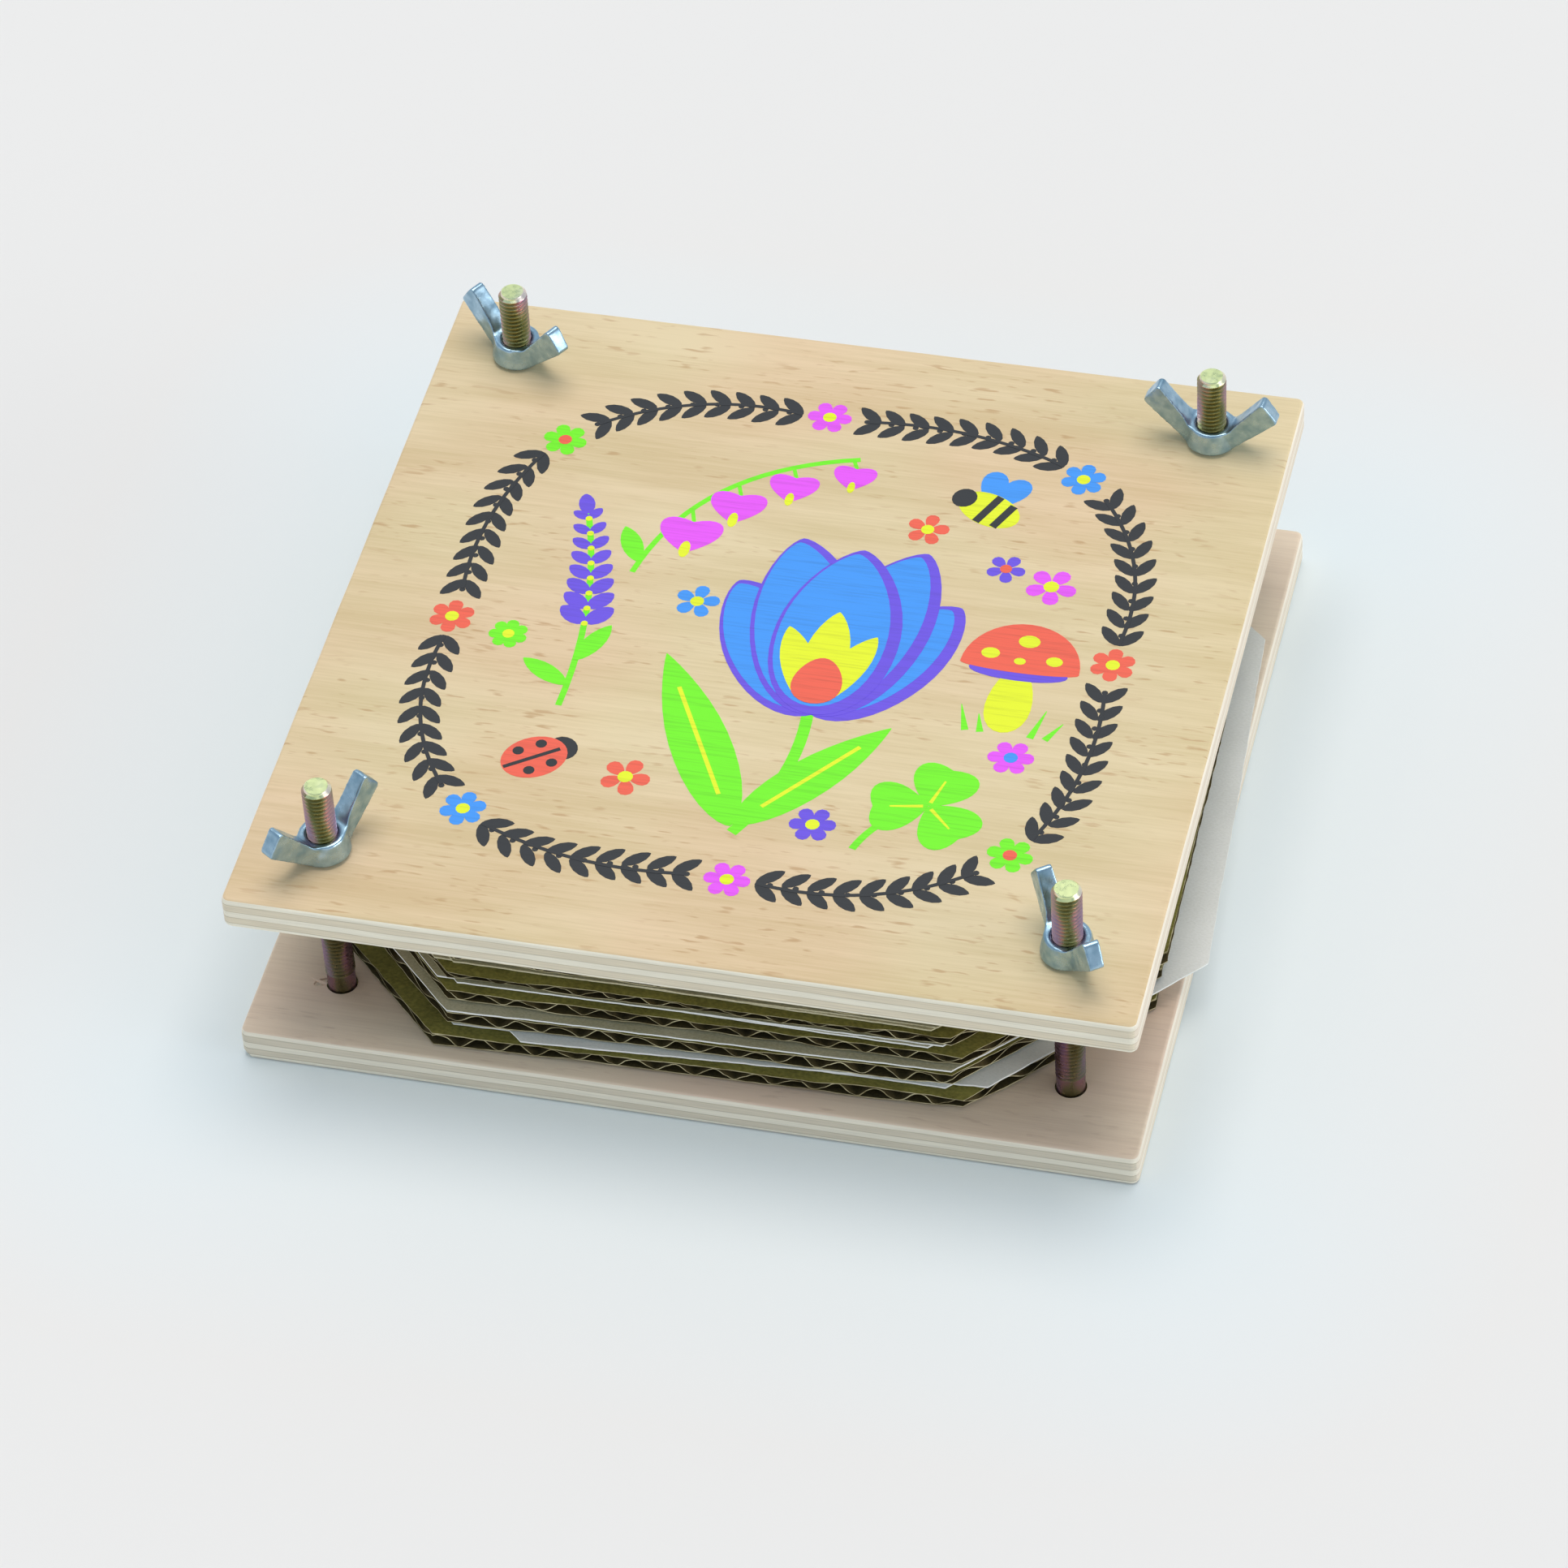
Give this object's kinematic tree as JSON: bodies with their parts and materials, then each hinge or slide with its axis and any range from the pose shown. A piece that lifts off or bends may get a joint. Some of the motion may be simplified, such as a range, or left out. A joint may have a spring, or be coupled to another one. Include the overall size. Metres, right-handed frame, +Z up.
{
  "type": "flower press",
  "caption": "Square flower press: two plywood boards squeeze a stack of corrugated cards and blotting papers between corner bolts, drawn down by wing nuts.",
  "frame": {"origin": "centre of the lower board's underside, which is the face that the press stands on", "axes": "+Z up along the bolts, +X to the right and -Y to the front, square to the boards"},
  "size_m": [0.1844, 0.18, 0.0626],
  "materials": {
    "birch_plywood": "matte",
    "yellow_zinc_steel": "satin",
    "bright_zinc_steel": "satin",
    "kraft_card": "matte",
    "blotting_paper": "matte"
  },
  "bodies": {
    "base": {"bottom_board": "birch_plywood", "carriage_bolt_front_left": "yellow_zinc_steel", "carriage_bolt_front_right": "yellow_zinc_steel", "carriage_bolt_back_left": "yellow_zinc_steel", "carriage_bolt_back_right": "yellow_zinc_steel", "corrugated_card_1": "kraft_card", "corrugated_card_2": "kraft_card", "corrugated_card_3": "kraft_card", "corrugated_card_4": "kraft_card", "corrugated_card_5": "kraft_card", "corrugated_card_6": "kraft_card", "blotting_paper_1": "blotting_paper", "blotting_paper_2": "blotting_paper", "blotting_paper_3": "blotting_paper", "blotting_paper_4": "blotting_paper", "blotting_paper_5": "blotting_paper", "blotting_paper_6": "blotting_paper", "blotting_paper_7": "blotting_paper", "blotting_paper_8": "blotting_paper", "blotting_paper_9": "blotting_paper", "blotting_paper_10": "blotting_paper"},
    "top_board": {"top_board": "birch_plywood"},
    "wing_nut_front_left": {"wing_nut_front_left": "bright_zinc_steel"},
    "wing_nut_front_right": {"wing_nut_front_right": "bright_zinc_steel"},
    "wing_nut_back_left": {"wing_nut_back_left": "bright_zinc_steel"},
    "wing_nut_back_right": {"wing_nut_back_right": "bright_zinc_steel"}
  },
  "joints": [
    {"name": "board_lift", "type": "slide", "parent": "base", "child": "top_board", "axis": [0, 0, 1], "range_m": [0, 0.015]},
    {"name": "wing_nut_front_left_turn", "type": "hinge", "parent": "top_board", "child": "wing_nut_front_left", "pos_m": [-0.0735, -0.0735, 0.04475], "axis": [0, 0, 1], "range_deg": [0, 5400]},
    {"name": "wing_nut_front_right_turn", "type": "hinge", "parent": "top_board", "child": "wing_nut_front_right", "pos_m": [0.0735, -0.0735, 0.04475], "axis": [0, 0, 1], "range_deg": [0, 5400]},
    {"name": "wing_nut_back_left_turn", "type": "hinge", "parent": "top_board", "child": "wing_nut_back_left", "pos_m": [-0.0735, 0.0735, 0.04475], "axis": [0, 0, 1], "range_deg": [0, 5400]},
    {"name": "wing_nut_back_right_turn", "type": "hinge", "parent": "top_board", "child": "wing_nut_back_right", "pos_m": [0.0735, 0.0735, 0.04475], "axis": [0, 0, 1], "range_deg": [0, 5400]}
  ],
  "couplings": [
    {"joint": "wing_nut_front_left_turn", "follows": "board_lift", "rad_per_m": 6283.2},
    {"joint": "wing_nut_front_right_turn", "follows": "board_lift", "rad_per_m": 6283.2},
    {"joint": "wing_nut_back_left_turn", "follows": "board_lift", "rad_per_m": 6283.2},
    {"joint": "wing_nut_back_right_turn", "follows": "board_lift", "rad_per_m": 6283.2}
  ]
}
